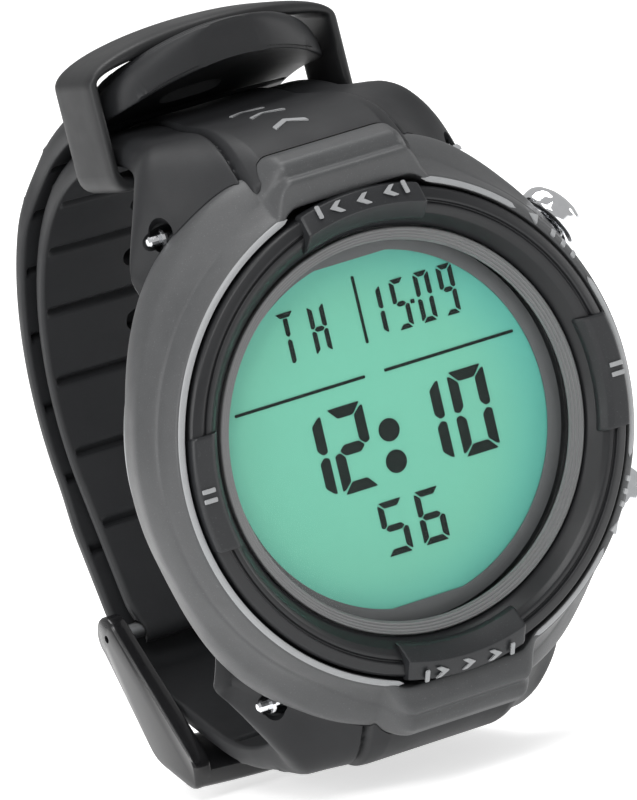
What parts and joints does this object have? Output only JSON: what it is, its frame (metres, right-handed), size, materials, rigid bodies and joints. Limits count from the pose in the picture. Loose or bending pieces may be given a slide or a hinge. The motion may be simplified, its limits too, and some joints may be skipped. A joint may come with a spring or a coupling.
{
  "type": "wrist dive computer",
  "caption": "Round wrist dive computer with a green segment display, two side push buttons and a slotted rubber strap, buckled into a loop.",
  "frame": {"origin": "centre of the case back's outer face, on the dial's axis", "axes": "+X towards 3 o'clock, +Z towards 12 o'clock, +Y out of the case back towards the wrist, so the dial faces -Y"},
  "size_m": [0.0502, 0.0521, 0.067],
  "materials": {
    "body_grey": "fine grained satin grey",
    "bezel_black": "satin near-black",
    "ring_grey": "satin mid grey",
    "rubber": "soft matte dark grey",
    "chrome": "polished",
    "steel": "brushed",
    "glass": "clear polished",
    "seal": "matte black",
    "lcd": "flat reflective display, green",
    "mask_grey": "matte grey print",
    "board": "green circuit board",
    "gold": "gold plated",
    "gloss_black": "glossy black",
    "white": "white diffusing plastic"
  },
  "bodies": {
    "watch": {"case_body": "body_grey", "bezel_ring": "bezel_black", "bezel_tab_12": "bezel_black", "bezel_tab_6": "bezel_black", "bezel_tab_3": "bezel_black", "bezel_tab_9": "bezel_black", "lens_gasket": "seal", "lens": "glass", "lens_ring": "ring_grey", "lcd_mask": "mask_grey", "lcd_panel": "lcd", "backlight": "white", "display_holder": "white", "contact_strip_upper": "seal", "contact_strip_lower": "seal", "circuit_board": "board", "processor": "gloss_black", "quartz_crystal": "steel", "pressure_sensor": "steel", "buzzer": "gold", "battery": "steel", "battery_contact_plus": "gold", "battery_contact_minus": "gold", "case_back": "steel", "case_screw_1": "steel", "case_screw_2": "steel", "case_screw_3": "steel", "case_screw_4": "steel", "case_back_gasket": "seal", "battery_cover_gasket": "seal", "spring_bar_12": "chrome", "spring_bar_6": "chrome", "strap_12": "rubber", "strap_6": "rubber", "select_sleeve": "steel", "select_seal": "seal", "select_spring": "steel", "escape_sleeve": "steel", "escape_seal": "seal", "escape_spring": "steel"},
    "select_button": {"select_plunger": "chrome", "select_clip": "steel"},
    "escape_button": {"escape_plunger": "chrome", "escape_clip": "steel"},
    "battery_door": {"battery_cover": "steel"},
    "tip_12_right": {"bar_tip_12_right": "chrome"},
    "tip_12_left": {"bar_tip_12_left": "chrome"},
    "tip_6_right": {"bar_tip_6_right": "chrome"},
    "tip_6_left": {"bar_tip_6_left": "chrome"},
    "strap_keeper": {"keeper": "rubber"},
    "buckle": {"buckle_frame": "gloss_black", "buckle_pin": "steel"},
    "tongue": {"buckle_tongue": "steel"}
  },
  "joints": [
    {"name": "select_press", "type": "slide", "parent": "watch", "child": "select_button", "axis": [-0.866, 0, -0.5], "range_m": [0, 0.001], "stiffness_N_per_m": 900, "springref_m": -0.0005, "deforming": ["select_spring"]},
    {"name": "escape_press", "type": "slide", "parent": "watch", "child": "escape_button", "axis": [-0.866, 0, 0.5], "range_m": [0, 0.001], "stiffness_N_per_m": 900, "springref_m": -0.0005, "deforming": ["escape_spring"]},
    {"name": "battery_cover_turn", "type": "hinge", "parent": "watch", "child": "battery_door", "pos_m": [0, 0, 0], "axis": [0, 1, 0], "range_deg": [0, 60]},
    {"name": "tip_12_right_slide", "type": "slide", "parent": "watch", "child": "tip_12_right", "axis": [-1, 0, 0], "range_m": [0, 0.001], "stiffness_N_per_m": 800, "springref_m": -0.0005},
    {"name": "tip_12_left_slide", "type": "slide", "parent": "watch", "child": "tip_12_left", "axis": [1, 0, 0], "range_m": [0, 0.001], "stiffness_N_per_m": 800, "springref_m": -0.0005},
    {"name": "tip_6_right_slide", "type": "slide", "parent": "watch", "child": "tip_6_right", "axis": [-1, 0, 0], "range_m": [0, 0.001], "stiffness_N_per_m": 800, "springref_m": -0.0005},
    {"name": "tip_6_left_slide", "type": "slide", "parent": "watch", "child": "tip_6_left", "axis": [1, 0, 0], "range_m": [0, 0.001], "stiffness_N_per_m": 800, "springref_m": -0.0005},
    {"name": "keeper_slide_round_strap", "type": "hinge", "parent": "watch", "child": "strap_keeper", "pos_m": [0, 0.0095, 0.004], "axis": [-1, 0, 0], "range_deg": [0, 60]},
    {"name": "buckle_frame_turn", "type": "hinge", "parent": "watch", "child": "buckle", "pos_m": [0, 0.02627, -0.01658], "axis": [1, 0, 0], "range_deg": [0, 8]},
    {"name": "buckle_tongue_turn", "type": "hinge", "parent": "buckle", "child": "tongue", "pos_m": [0, 0.02627, -0.01658], "axis": [1, 0, 0], "range_deg": [0, 5]}
  ]
}
